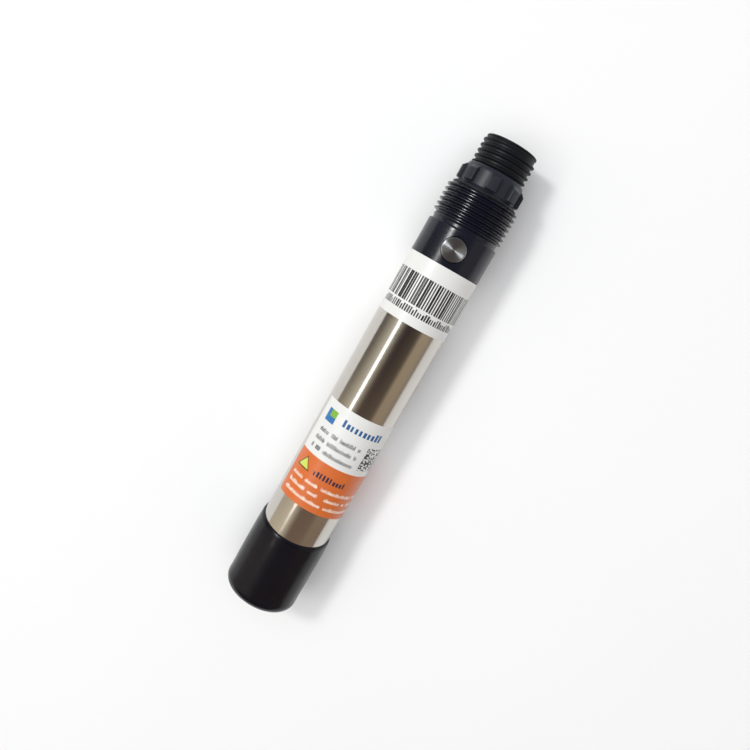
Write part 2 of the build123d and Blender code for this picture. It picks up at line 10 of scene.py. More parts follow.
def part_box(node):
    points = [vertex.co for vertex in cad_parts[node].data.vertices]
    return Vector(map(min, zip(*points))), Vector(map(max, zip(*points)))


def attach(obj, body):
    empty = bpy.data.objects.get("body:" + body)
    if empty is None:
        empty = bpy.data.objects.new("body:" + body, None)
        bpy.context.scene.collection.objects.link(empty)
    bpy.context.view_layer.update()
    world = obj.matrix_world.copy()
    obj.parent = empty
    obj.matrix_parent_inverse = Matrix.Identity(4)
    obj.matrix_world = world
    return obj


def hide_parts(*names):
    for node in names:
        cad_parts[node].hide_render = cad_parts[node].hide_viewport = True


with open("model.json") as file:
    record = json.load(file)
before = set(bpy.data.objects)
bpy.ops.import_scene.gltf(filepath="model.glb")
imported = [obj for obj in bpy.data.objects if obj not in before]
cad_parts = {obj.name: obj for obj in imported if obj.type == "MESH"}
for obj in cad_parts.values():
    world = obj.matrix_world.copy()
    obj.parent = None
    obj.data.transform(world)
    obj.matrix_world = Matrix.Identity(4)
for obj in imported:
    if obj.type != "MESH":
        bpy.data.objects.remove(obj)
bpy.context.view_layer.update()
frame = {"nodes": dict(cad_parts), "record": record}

# Optical dissolved-oxygen probe, lying along X on a pale floor.
# Sizes are in millimetres and are turned to metres where a mesh is made. A station is a distance
# along the probe from the protective cap's closed end, and a radius is measured from its axis.
# Angles run about the axis from +Z, and are positive towards -Y.
MM = 0.001
TURN = 2 * pi

tip_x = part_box("protective_cap")[0].x
tube_low, tube_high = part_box("steel_tube")
axis_z = (tube_low.z + tube_high.z) / 2

# Sizes that several pieces share and that the frame's boxes don't give
close_fit = 0.05
end_spigot_r = 11.65  # the plastic ends that enter the tube
cable_spigot_r = 8.6  # the connector's stem, inside the lock ring and the housing's mouth

crease_angle = 40.0  # in degrees; a mesh's sharper edges stay sharp


def span(node):
    """The stations where a CAD node starts and ends."""
    low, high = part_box(node)
    return (low.x - tip_x) / MM, (high.x - tip_x) / MM


def reach(node):
    """The largest radius of a CAD node that goes all the way round the axis."""
    low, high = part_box(node)
    return (high.z - low.z) / 2 / MM


def height(z):
    """A height above the axis, in millimetres, of a level in the frame."""
    return (z - axis_z) / MM


# ================================================================ mesh helpers
def soften(outline, radius, steps):
    """A closed outline with its corners rounded and a point on each side of every arc."""
    most_of_side, beside_arc = 0.42, 0.1
    softened = []
    count = len(outline)
    for i, point in enumerate(outline):
        corner = Vector(point)
        back = Vector(outline[i - 1]) - corner
        on = Vector(outline[(i + 1) % count]) - corner
        bend = pi - back.angle(on)
        room = most_of_side * min(back.length, on.length)
        reach_back = min(radius * tan(bend / 2), room)
        arc_r = reach_back / tan(bend / 2)
        start = corner + back.normalized() * reach_back
        end = corner + on.normalized() * reach_back
        inward = (back.normalized() + on.normalized()).normalized()
        centre = corner + inward * (arc_r / cos(bend / 2))
        softened.append(tuple(start + back.normalized() * beside_arc * reach_back))
        for k in range(steps + 1):
            spoke = (start - centre).lerp(end - centre, k / steps).normalized()
            softened.append(tuple(centre + spoke * arc_r))
        softened.append(tuple(end + on.normalized() * beside_arc * reach_back))
    return softened


def finish_mesh(name, points, faces, material, crease=crease_angle):
    """A smooth-shaded piece from points in metres. Edges sharper than crease degrees stay sharp."""
    same_place, no_length = 1e-7, 1e-8
    mesh = bpy.data.meshes.new(name)
    mesh.from_pydata(points, [], faces)
    shape = bmesh.new()
    shape.from_mesh(mesh)
    bmesh.ops.remove_doubles(shape, verts=shape.verts, dist=same_place)
    bmesh.ops.dissolve_degenerate(shape, edges=shape.edges, dist=no_length)
    bmesh.ops.recalc_face_normals(shape, faces=shape.faces)
    shape.to_mesh(mesh)
    shape.free()
    mesh.shade_smooth()
    mesh.set_sharp_from_angle(angle=radians(crease))
    mesh.materials.append(material)
    piece = bpy.data.objects.new(name, mesh)
    bpy.context.scene.collection.objects.link(piece)
    return piece


def along_probe(station, radius, angle):
    """Points in metres at these stations, radii and angles about the probe's axis."""
    x = tip_x + station * MM
    y = -radius * np.sin(angle) * MM
    z = axis_z + radius * np.cos(angle) * MM
    return np.stack(np.broadcast_arrays(x, y, z), axis=-1)


def ringed(name, rings, material, segments, place=along_probe, closed=True, crease=crease_angle):
    """A piece of rings about an axis. A ring is (station, radius), each one number or one a segment."""
    angle = np.arange(segments) * TURN / segments
    points = []
    for station, radius in rings:
        points.append(place(np.asarray(station, float), np.asarray(radius, float), angle))
    points = np.concatenate(points).tolist()
    bands = len(rings) if closed else len(rings) - 1
    faces = []
    for i in range(bands):
        this, following = i * segments, ((i + 1) % len(rings)) * segments
        for k in range(segments):
            n = (k + 1) % segments
            faces.append((this + k, this + n, following + n, following + k))
    return finish_mesh(name, points, faces, material, crease)


def smooth_step(x):
    """0 below 0, 1 above 1 and a smooth rise between."""
    x = np.clip(x, 0, 1)
    return x * x * (3 - 2 * x)


def thread_rings(stations, segments, thread):
    """Rings of a right-hand thread whose ridge fades in and out at its ends."""
    turn = np.arange(segments) / segments
    pitch, crest, flank_w = thread["pitch"], thread["crest"], thread["flank"]
    depth = thread["major"] - thread["minor"]
    straight = 0.55
    rings = []
    for s in stations:
        along = (s - thread["first"]) / pitch - turn
        ridge = np.round(along)
        from_crest = np.abs(along - ridge) * pitch
        flank = np.clip((crest / 2 + flank_w - from_crest) / flank_w, 0, 1)
        profile = straight * flank + (1 - straight) * smooth_step(flank)
        centre = s - (along - ridge) * pitch
        fade = smooth_step((centre - thread["start"]) / thread["run_in"])
        fade = fade * smooth_step((thread["end"] - centre) / thread["run_out"])
        rings.append((s, thread["minor"] + depth * profile * fade))
    return rings


def steps_between(start, end, size):
    """Evenly spaced stations from start to end, both included."""
    return np.linspace(start, end, max(2, round((end - start) / size) + 1))


def cut(piece, cutter):
    """Takes the cutter's shape out of a piece, for good."""
    hole = piece.modifiers.new("hole", "BOOLEAN")
    hole.operation = "DIFFERENCE"
    hole.solver = "EXACT"
    hole.object = cutter
    graph = bpy.context.evaluated_depsgraph_get()
    mesh = bpy.data.meshes.new_from_object(piece.evaluated_get(graph))
    piece.modifiers.clear()
    piece.data = mesh
    mesh.shade_smooth()
    mesh.set_sharp_from_angle(angle=radians(crease_angle))
    bpy.data.objects.remove(cutter)


def settle(piece, body, slot, *nodes):
    """Fixes a finished piece to its body and hides the CAD nodes that it stands for. slot is not used."""
    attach(piece, body)
    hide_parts(*nodes)


# ================================================================ material helpers
noise_range = (0.3, 0.7)  # where most values of a noise lie


def srgb(red, green, blue):
    """A shader colour from 0-255 display values."""
    shares = [v / 255 for v in (red, green, blue)]
    return (*[c / 12.92 if c <= 0.04045 else ((c + 0.055) / 1.055) ** 2.4 for c in shares], 1)


def add_node(tree, kind, inputs=None, **settings):
    """A shader node. An input is a value, or another node's output to link."""
    node = tree.nodes.new("ShaderNode" + kind)
    for key, value in settings.items():
        setattr(node, key, value)
    for key, value in (inputs or {}).items():
        if isinstance(value, bpy.types.NodeSocket):
            tree.links.new(value, node.inputs[key])
        else:
            node.inputs[key].default_value = value
    return node


def new_material(name, sockets):
    """A material with these Principled sockets set, its node tree and its shader node."""
    material = bpy.data.materials.new(name)
    material.use_nodes = True
    tree = material.node_tree
    shader = tree.nodes["Principled BSDF"]
    for key, value in sockets.items():
        shader.inputs[key].default_value = value
    return material, tree, shader


def noise(tree, size, detail=3.0, stretch=(1, 1, 1), roughness=0.5):
    """Noise from 0 to 1 with features of this size in millimetres, longer where stretch is over 1."""
    where = add_node(tree, "TexCoord").outputs["Object"]
    scale = [1 / (size * MM * s) for s in stretch]
    where = add_node(tree, "Mapping", {"Vector": where, "Scale": scale}).outputs["Vector"]
    inputs = {"Vector": where, "Scale": 1.0, "Detail": detail, "Roughness": roughness}
    return add_node(tree, "TexNoise", inputs).outputs["Fac"]


def mix(tree, factor, first, second):
    """A colour between two others."""
    node = add_node(tree, "Mix", data_type="RGBA")
    for index, value in ((0, factor), (6, first), (7, second)):
        if isinstance(value, bpy.types.NodeSocket):
            tree.links.new(value, node.inputs[index])
        else:
            node.inputs[index].default_value = value
    return node.outputs[2]


def ranged(tree, value, low, high, start=0.0, end=1.0):
    """A value from start to end, mapped to low to high."""
    inputs = {"Value": value, "From Min": start, "From Max": end, "To Min": low, "To Max": high}
    return add_node(tree, "MapRange", inputs).outputs["Result"]


def maths(tree, operation, *values):
    """One Math node's result."""
    node = add_node(tree, "Math", operation=operation)
    for index, value in enumerate(values):
        if isinstance(value, bpy.types.NodeSocket):
            tree.links.new(value, node.inputs[index])
        else:
            node.inputs[index].default_value = value
    return node.outputs[0]


def bump(tree, shader, heights, depth):
    """Raises a shader's surface by heights, from 0 to 1, times depth in millimetres."""
    node = add_node(tree, "Bump", {"Height": heights, "Distance": depth * MM, "Strength": 1.0})
    tree.links.new(node.outputs["Normal"], shader.inputs["Normal"])


def scaled(colour, by):
    """A colour made lighter or darker."""
    return (*[min(1.0, c * by) for c in colour[:3]], 1)


def moulded(name, colour, roughness, grain=0.25, depth=0.004, spread=0.25, extra=None):
    """Moulded plastic, rubber or resin: faint tone changes, uneven gloss and a fine skin."""
    patch_size, gloss_spread = 9.0, 0.07
    sockets = {"Roughness": roughness, **(extra or {})}
    material, tree, shader = new_material(name, sockets)
    patches = noise(tree, patch_size, 4.0)
    fine = noise(tree, grain, 4.0, roughness=0.65)
    tone = mix(tree, patches, scaled(colour, 1 - spread), scaled(colour, 1 + spread))
    tree.links.new(tone, shader.inputs["Base Color"])
    gloss = ranged(tree, fine, roughness - gloss_spread, roughness + gloss_spread, *noise_range)
    tree.links.new(gloss, shader.inputs["Roughness"])
    bump(tree, shader, fine, depth)
    return material


def bare_metal(name, colour, roughness, grain=0.2, stretch=(1, 1, 1), depth=0.002):
    """Bare metal with drawn-out grain and faint stains."""
    stain_size, darkest, palest, smoother, rougher = 14.0, 0.94, 1.05, 0.03, 0.05
    material, tree, shader = new_material(name, {"Metallic": 1.0, "Roughness": roughness})
    stains = noise(tree, stain_size, 5.0)
    lines = noise(tree, grain, 3.0, stretch)
    tone = mix(tree, stains, scaled(colour, darkest), scaled(colour, palest))
    tree.links.new(tone, shader.inputs["Base Color"])
    gloss = ranged(tree, lines, roughness - smoother, roughness + rougher, *noise_range)
    tree.links.new(gloss, shader.inputs["Roughness"])
    bump(tree, shader, lines, depth)
    return material


# ================================================================ materials
def steel_finish():
    """Ground and polished stainless tube, its grain running round the tube."""
    grain, stretch, depth = 0.12, (0.6, 14, 14), 0.0008
    return bare_metal("steel_finish", srgb(202, 198, 191), 0.14, grain, stretch, depth)


def vinyl_finish():
    """Dip-moulded black vinyl: a glossy skin with slow waves and faint cloudy marks."""
    wave_size, wave_depth, cloud_size = 8.0, 0.08, 5.0
    material, tree, shader = new_material("vinyl_finish", {"Roughness": 0.22, "Specular IOR Level": 0.24})
    waves = noise(tree, wave_size, 1.0)
    clouds = noise(tree, cloud_size, 3.0)
    tone = mix(tree, waves, srgb(13, 12, 18), srgb(19, 18, 25))
    tree.links.new(tone, shader.inputs["Base Color"])
    tree.links.new(ranged(tree, clouds, 0.18, 0.26, *noise_range), shader.inputs["Roughness"])
    bump(tree, shader, waves, wave_depth)
    return material


def turned_finish():
    """Turned stainless face: the tool's rings stretch each highlight into a wedge."""
    ring_size = 2.0
    sockets = {"Metallic": 1.0, "Roughness": 0.31, "Anisotropic": 0.95, "Anisotropic Rotation": 0.25}
    material, tree, shader = new_material("turned_finish", sockets)
    where = add_node(tree, "TexCoord").outputs["Object"]
    low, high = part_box("temperature_disc")
    offset = {"Vector": where, "Location": -(low + high) / 2}
    where = add_node(tree, "Mapping", offset).outputs["Vector"]
    waves = {"Vector": where, "Scale": 1 / (ring_size * MM), "Distortion": 0.0, "Detail": 1.0}
    rings = add_node(tree, "TexWave", waves, wave_type="RINGS", rings_direction="Z").outputs["Fac"]
    tone = mix(tree, rings, srgb(170, 173, 176), srgb(176, 179, 182))
    tree.links.new(tone, shader.inputs["Base Color"])
    tree.links.new(ranged(tree, rings, 0.3, 0.32), shader.inputs["Roughness"])
    tangent = add_node(tree, "Tangent", direction_type="RADIAL", axis="Z").outputs["Tangent"]
    tree.links.new(tangent, shader.inputs["Tangent"])
    return material


def label_place(tree):
    """Where a point of a label is: millimetres round the tube from its top, and its station."""
    where = add_node(tree, "TexCoord").outputs["Object"]
    axes = add_node(tree, "SeparateXYZ", {"Vector": where})
    side = maths(tree, "MULTIPLY", axes.outputs["Y"], -1.0)
    up = maths(tree, "SUBTRACT", axes.outputs["Z"], axis_z)
    turn = maths(tree, "ARCTAN2", side, up)
    around = maths(tree, "MULTIPLY", turn, reach("steel_tube"))
    station = maths(tree, "DIVIDE", maths(tree, "SUBTRACT", axes.outputs["X"], tip_x), MM)
    return around, station


def between(tree, value, low, high):
    """1 where a value is from low to high, and 0 elsewhere."""
    return maths(tree, "COMPARE", value, (low + high) / 2, (high - low) / 2)


def block(tree, place, left, right, bottom, top):
    """1 inside a rectangle of a label."""
    around, station = place
    return maths(tree, "MULTIPLY", between(tree, around, left, right), between(tree, station, bottom, top))


def dice(tree, value, step, seed, other=None):
    """A random number from 0 to 1, the same over each step of a value, or of two values."""
    cell = maths(tree, "FLOOR", maths(tree, "DIVIDE", value, step))
    row = maths(tree, "FLOOR", maths(tree, "DIVIDE", other, step)) if other else 0.0
    spot = add_node(tree, "CombineXYZ", {"X": cell, "Y": row, "Z": seed}).outputs["Vector"]
    return add_node(tree, "TexWhiteNoise", {"Vector": spot}, noise_dimensions="3D").outputs["Value"]


def dashes(tree, place, area, step, seed, gaps=0.16):
    """1 on a row of short plain strokes of uneven height over an area. gaps is the share left empty."""
    around, station = place
    bottom, top = area[2:]
    word, narrowest, widest, short, tall_share = 2.2 * step, 0.45, 0.75, 0.72, 0.4
    inside = block(tree, place, *area)
    gap = maths(tree, "GREATER_THAN", dice(tree, around, word, seed), gaps)
    share = maths(tree, "FRACT", maths(tree, "DIVIDE", around, step))
    width = ranged(tree, dice(tree, around, step, seed + 0.3), narrowest, widest)
    stroke = maths(tree, "LESS_THAN", share, width)
    tall = maths(tree, "GREATER_THAN", dice(tree, around, step, seed + 0.6), 1 - tall_share)
    rise = ranged(tree, tall, bottom + short * (top - bottom), top)
    below = maths(tree, "LESS_THAN", station, rise)
    drawn = maths(tree, "MULTIPLY", maths(tree, "MULTIPLY", inside, gap), below)
    return maths(tree, "MULTIPLY", drawn, stroke)


def stripes(tree, around, step, seed):
    """1 on parallel bars, one to a step, of uneven width and place."""
    narrowest, widest, latest_start = 0.34, 0.88, 0.22
    share = maths(tree, "FRACT", maths(tree, "DIVIDE", around, step))
    width = ranged(tree, dice(tree, around, step, seed), narrowest, widest)
    start = maths(tree, "MULTIPLY", dice(tree, around, step, seed + 0.5), latest_start)
    after = maths(tree, "GREATER_THAN", share, start)
    before = maths(tree, "LESS_THAN", share, maths(tree, "ADD", start, width))
    return maths(tree, "MULTIPLY", after, before)


def label_sheet(name, paint):
    """Printed vinyl label under a clear film. paint returns the print's colour."""
    patch_size, fibre_size, fibre_depth = 12.0, 0.4, 0.003
    sockets = {"Roughness": 0.34, "Coat Weight": 0.25, "Coat Roughness": 0.2}
    material, tree, shader = new_material(name, sockets)
    fibre = noise(tree, fibre_size, 4.0)
    paper = mix(tree, noise(tree, patch_size, 3.0), srgb(224, 224, 221), srgb(231, 231, 228))
    colour = paint(tree, label_place(tree), paper)
    tree.links.new(colour, shader.inputs["Base Color"])
    tree.links.new(ranged(tree, fibre, 0.28, 0.42, *noise_range), shader.inputs["Roughness"])
    bump(tree, shader, fibre, fibre_depth)
    return material


def barcode_print(tree, place, paper):
    """Bars along the probe with a row of dashes under them. An area is left, right, bottom and top."""
    start = span("barcode_label")[0]
    ink = srgb(28, 25, 27)
    bar_area = (-19.0, 19.5, start + 6.6, start + 16.6)
    row_area = (-16.0, 17.0, start + 3.4, start + 5.9)
    bar_step, row_step = 0.98, 0.95
    bars = maths(tree, "MULTIPLY", stripes(tree, place[0], bar_step, 11.0), block(tree, place, *bar_area))
    colour = mix(tree, bars, paper, ink)
    return mix(tree, dashes(tree, place, row_area, row_step, 3.0, gaps=0.0), colour, ink)


def triangle(tree, place, middle, base, tall):
    """1 inside an upright triangle of a label."""
    around, station = place
    steepness = 1.5
    aside = maths(tree, "ABSOLUTE", maths(tree, "SUBTRACT", around, middle))
    edge = maths(tree, "SUBTRACT", base + tall, maths(tree, "MULTIPLY", aside, steepness))
    under = maths(tree, "LESS_THAN", station, edge)
    return maths(tree, "MULTIPLY", under, maths(tree, "GREATER_THAN", station, base))


def product_print(tree, place, paper):
    """A plain mark, a title bar, three dashed rows and a block of modules over an orange field."""
    around, station = place
    start = span("product_label")[0]
    black = srgb(40, 38, 42)
    field_top = start + 18.3
    # areas: left, right, bottom and top
    mark = (-11.2, -6.6, start + 31.0, start + 35.8)
    mark_corner = (-9.6, -6.6, start + 33.2, start + 35.8)
    title = (-3.7, 12.7, start + 32.5, start + 35.3)
    module_area = (9.6, 18.9, start + 20.6, start + 29.8)
    heading = (-4.6, 9.1, start + 12.2, start + 14.3)
    title_step, row_step, module_step, heading_step, white_step = 1.64, 0.55, 0.52, 1.3, 0.6
    row_h, white_h = 1.6, 1.35
    orange = mix(tree, noise(tree, 15.0), srgb(208, 101, 40), srgb(216, 111, 48))
    colour = mix(tree, between(tree, station, start - 1, field_top), paper, orange)
    # upper part: mark, title, black rows and modules
    colour = mix(tree, block(tree, place, *mark), colour, srgb(46, 112, 176))
    colour = mix(tree, block(tree, place, *mark_corner), colour, srgb(128, 178, 62))
    colour = mix(tree, dashes(tree, place, title, title_step, 8.0, gaps=0.0), colour, srgb(34, 92, 150))
    for above_start, seed in ((27.0, 1.0), (23.7, 2.0), (20.4, 4.0)):
        row = (-10.8, 7.2, start + above_start, start + above_start + row_h)
        colour = mix(tree, dashes(tree, place, row, row_step, seed), colour, black)
    module = maths(tree, "GREATER_THAN", dice(tree, around, module_step, 21.0, station), 0.45)
    module = maths(tree, "MULTIPLY", module, block(tree, place, *module_area))
    colour = mix(tree, module, colour, black)
    # orange field: bordered triangle, heading and three white rows
    sign_middle, sign_base, sign_h, border = -8.9, start + 12.1, 4.7, 1.9
    for size, tint in ((1.0, srgb(52, 58, 38)), (0.78, srgb(206, 218, 96))):
        sign = triangle(tree, place, sign_middle, sign_base + (1 - size) * border, sign_h * size)
        colour = mix(tree, sign, colour, tint)
    colour = mix(tree, dashes(tree, place, heading, heading_step, 6.0, gaps=0.0), colour, srgb(30, 40, 66))
    for above_start, seed in ((8.6, 7.0), (5.5, 9.0), (2.4, 10.0)):
        row = (-12.0, 20.0, start + above_start, start + above_start + white_h)
        colour = mix(tree, dashes(tree, place, row, white_step, seed), colour, srgb(246, 236, 222))
    return colour


def sponge_finish():
    """Open foam, with a pit at each pore that sinks, and painted shade that darkens it."""
    pore_size, pore_depth = 0.8, 0.3
    material, tree, shader = new_material("sponge_finish", {"Roughness": 0.9})
    where = add_node(tree, "TexCoord").outputs["Object"]
    inputs = {"Vector": where, "Scale": 1 / (pore_size * MM)}
    pores_and_painted_shade = add_node(tree, "TexVoronoi", inputs).outputs["Distance"]
    # painted shade: the colour darkens towards each pore's middle, where the bump sinks it
    colour = mix(tree, pores_and_painted_shade, srgb(120, 104, 40), srgb(214, 196, 96))
    tree.links.new(colour, shader.inputs["Base Color"])
    bump(tree, shader, pores_and_painted_shade, pore_depth)
    return material


def board_finish():
    """Green circuit board with paler tracks under the solder mask."""
    track_size, track_depth = 1.3, 0.03
    material, tree, shader = new_material("board_finish", {"Roughness": 0.3})
    where = add_node(tree, "TexCoord").outputs["Object"]
    inputs = {"Vector": where, "Scale": 1 / (track_size * MM)}
    inputs |= {"Mortar Size": 0.12, "Row Height": 0.5, "Brick Width": 2.2}
    tracks = add_node(tree, "TexBrick", inputs).outputs["Fac"]
    colour = mix(tree, tracks, srgb(16, 74, 42), srgb(44, 118, 70))
    tree.links.new(colour, shader.inputs["Base Color"])
    bump(tree, shader, tracks, track_depth)
    return material


def foil_finish():
    """Fluorescent sensing foil: a dark coat over a rose-coloured layer."""
    speck_size, speck_depth = 0.35, 0.01
    material, tree, shader = new_material("foil_finish", {"Roughness": 0.45})
    specks = noise(tree, speck_size, 4.0)
    colour = mix(tree, specks, srgb(92, 26, 40), srgb(150, 58, 70))
    tree.links.new(colour, shader.inputs["Base Color"])
    bump(tree, shader, specks, speck_depth)
    return material


steel = steel_finish()
turned_steel = turned_finish()
vinyl = vinyl_finish()
shine = "Specular IOR Level"
housing_plastic = moulded("housing_plastic", srgb(20, 22, 33), 0.22, 0.8, 0.001, 0.2, {shine: 0.42})
connector_plastic = moulded("connector_plastic", srgb(21, 23, 27), 0.46, 0.6, 0.003, 0.2, {shine: 0.24})
collar_plastic = moulded("collar_plastic", srgb(36, 39, 47), 0.38, 0.22, 0.016, 0.12, {shine: 0.36})
rubber = moulded("rubber", srgb(22, 22, 22), 0.6, 0.3, 0.01)
sponge_foam = sponge_finish()
barcode_sheet = label_sheet("barcode_sheet", barcode_print)
product_sheet = label_sheet("product_sheet", product_print)

glass = {"Transmission Weight": 1.0, "IOR": 1.5}
inner_finishes = {
    "seal_rubber": rubber,
    "foil": foil_finish(),
    "clear_glass": moulded("clear_glass", srgb(236, 240, 240), 0.1, 2.0, 0.0, 0.02, glass),
    "filter_glass": moulded("filter_glass", srgb(120, 18, 22), 0.12, 2.0, 0.0, 0.1),
    "anodised": moulded("anodised", srgb(24, 24, 27), 0.4, 0.15, 0.004, 0.2, {"Metallic": 0.7}),
    "circuit_board": board_finish(),
    "chip_plastic": moulded("chip_plastic", srgb(34, 34, 36), 0.55, 0.1, 0.01),
    "capacitor_can": bare_metal("capacitor_can", srgb(196, 197, 199), 0.3, 0.15),
    "socket_plastic": moulded("socket_plastic", srgb(232, 226, 208), 0.45, 0.3, 0.008, 0.05),
    "blue_lens": moulded("blue_lens", srgb(60, 96, 190), 0.14, 1.0, 0.0, 0.1),
    "red_lens": moulded("red_lens", srgb(188, 40, 36), 0.14, 1.0, 0.0, 0.1),
    "dark_lens": moulded("dark_lens", srgb(20, 18, 30), 0.12, 1.0, 0.0, 0.1),
    "screw_steel": bare_metal("screw_steel", srgb(176, 174, 168), 0.26, 0.1, (1, 6, 6), 0.002),
    "gold_contact": bare_metal("gold_contact", srgb(236, 190, 104), 0.2, 0.1, (6, 1, 1), 0.001),
    "insert_plastic": moulded("insert_plastic", srgb(34, 34, 36), 0.45, 0.25, 0.008),
    "resin": moulded("resin", srgb(30, 26, 24), 0.2, 1.6, 0.02),
    "wire_sheath": moulded("wire_sheath", srgb(164, 44, 40), 0.4, 0.3, 0.006, 0.2),
    "lead_wire": moulded("lead_wire", srgb(206, 200, 190), 0.4, 0.3, 0.004, 0.1),
    "carrier_plastic": moulded("carrier_plastic", srgb(208, 206, 198), 0.5, 0.3, 0.01, 0.06),
    "bead_glass": moulded("bead_glass", srgb(196, 120, 60), 0.12, 0.6, 0.0, 0.2),
}


# ================================================================ wet end
def make_protective_cap():
    """Soft vinyl cap: bulging a little between its rounded corner and its skewed, tapered lip."""
    mouth_far = span("protective_cap")[1]
    cad_r = reach("protective_cap")
    outer = cad_r - 0.02
    floor_s = span("storage_sponge")[0]
    bore, corner, lip = 13.05, 4.4, 1.5
    floor_corner, floor_flat = corner - 0.9, 4.0
    skew = tan(radians(10))
    mouth = mouth_far - cad_r * skew
    lip_start, lip_r = mouth - lip, outer - 0.2
    waist_depth, waist_run, taper_depth, taper_run = 0.1, 4, 0.1, 5
    sway_depth, sway_turn = 0.05, 0.6
    corner_steps, lip_steps, floor_steps = 14, 8, 10
    segments = 256
    angle = np.arange(segments) * TURN / segments
    dimple = [(0.3, 0.0), (0.26, 3.0), (0.1, 6.0)]
    outline = list(dimple)
    for k in range(corner_steps + 1):
        a = radians(90) * k / corner_steps
        outline.append((corner * (1 - cos(a)), outer - corner + corner * sin(a)))
    for s in steps_between(corner + 0.4, lip_start, 0.6)[:-1]:
        share = (s - corner) / (lip_start - corner)
        waist = waist_depth * (1 - sin(pi * share)) * smooth_step((s - corner) / waist_run)
        taper = taper_depth * smooth_step((s - lip_start + taper_run) / taper_run)
        outline.append((s, outer - waist - taper))
    for k in range(lip_steps + 1):
        a = radians(90) * k / lip_steps
        outline.append((lip_start + lip * sin(a), bore + (lip_r - bore) * cos(a)))
    outline += [(s, bore) for s in reversed(steps_between(corner, mouth - 0.3, 0.8))]
    for k in range(1, floor_steps + 1):
        a = radians(90) * k / floor_steps
        outline.append((corner - (corner - floor_s) * sin(a), bore - floor_corner * (1 - cos(a))))
    outline += [(floor_s, floor_flat), (floor_s, 0.0)]
    rings = []
    for s, r in outline:
        lean = smooth_step((s - corner) / (mouth - corner))
        sway = sway_depth * lean * (1 + np.sin(2 * angle + sway_turn)) if r > bore else 0.0
        rings.append((s - lean * skew * r * np.cos(angle), r - sway))
    piece = ringed("protective_cap_visual", rings, vinyl, segments, closed=False, crease=60)
    settle(piece, "cap", "cap_vinyl", "protective_cap")


def make_storage_sponge():
    """Damp foam pad in the cap's end, with an uneven, porous face."""
    start, end = span("storage_sponge")
    outer = reach("storage_sponge")
    foot_r, widest, crown_steps = 8.6, 1.6, 12
    segments = 96
    angle = np.arange(segments) * TURN / segments
    wobble = 0.12 * np.sin(5 * angle) + 0.08 * np.sin(11 * angle + 1)
    rings = [(start + 0.05, 0.0), (start + 0.05, foot_r), (start + 0.5, foot_r + 0.8 + wobble)]
    rings += [(start + widest, outer - 1.4 + wobble), (end - 0.5, outer - 0.35 + wobble)]
    for k in range(1, crown_steps + 1):
        share = k / crown_steps
        crown = end - 0.25 + 0.2 * sin(pi * share) + 0.08 * np.sin(7 * angle + 9 * share)
        rings.append((crown, (outer - 0.8) * (1 - share)))
    piece = ringed("storage_sponge_visual", rings, sponge_foam, segments, closed=False)
    settle(piece, "cap", "sponge", "storage_sponge")


def quarter(start, end, radius_from, radius_to, steps=5):
    """Ring sizes round a quarter-circle corner that sets out across the axis and ends along it."""
    sizes = []
    for k in range(steps + 1):
        a = radians(90) * k / steps
        station = start + (end - start) * (1 - cos(a))
        sizes.append((station, radius_from + (radius_to - radius_from) * sin(a)))
    return sizes


def make_membrane_cap():
    """Screw-on cap round the sensing foil, with finger flutes round its rim."""
    start, end = span("membrane_cap")
    outer = reach("membrane_cap")
    bore = reach("sensing_foil") + 2 * close_fit
    wall_s = span("sensing_foil")[0]
    window, window_edge, corner = 7.0, 0.5, 0.9
    flutes, flute_depth, flute_start, flute_run = 16, 0.45, start + 1.8, 1.0
    segments = 320
    angle = np.arange(segments) * TURN / segments
    scallop = smooth_step((np.cos(flutes * angle) - 0.1) / 0.8)
    rings = [(wall_s, window), (start + window_edge, window)]
    rings += reversed(quarter(start, start + window_edge, window + window_edge, window))
    rings += quarter(start, start + corner, outer - corner, outer)
    for s in steps_between(start + corner + 0.1, end - 0.25, 0.2):
        share = smooth_step((s - flute_start) / flute_run)
        rings.append((s, outer - flute_depth * scallop * share))
    fluted_r = outer - flute_depth * scallop
    rings += [(end - 0.06, fluted_r - 0.06), (end, fluted_r - 0.25), (end, bore), (wall_s, bore)]
    piece = ringed("membrane_cap_visual", rings, housing_plastic, segments)
    settle(piece, "membrane", "black_plastic", "membrane_cap")


def make_membrane_gasket():
    """Flat rubber ring with rounded edges."""
    start, end = span("membrane_gasket")
    outer = reach("membrane_gasket")
    bore, edge = 10.8, 0.22
    outline = soften([(start, bore), (start, outer), (end, outer), (end, bore)], edge, 4)
    piece = ringed("membrane_gasket_visual", outline, rubber, 192)
    settle(piece, "gasket", "seal_rubber", "membrane_gasket")


nose_thread = {"pitch": 1.5, "minor": 10.0, "major": 10.5, "crest": 0.15, "flank": 0.35}


def groove_span(node, which):
    """Where a seal groove starts and ends: the first (0) or the last (1) of a node's two O-rings."""
    start, end = span(node)
    cord, groove_w = 1.44, 2.2
    middle = end - cord / 2 if which else start + cord / 2
    return middle - groove_w / 2, middle + groove_w / 2


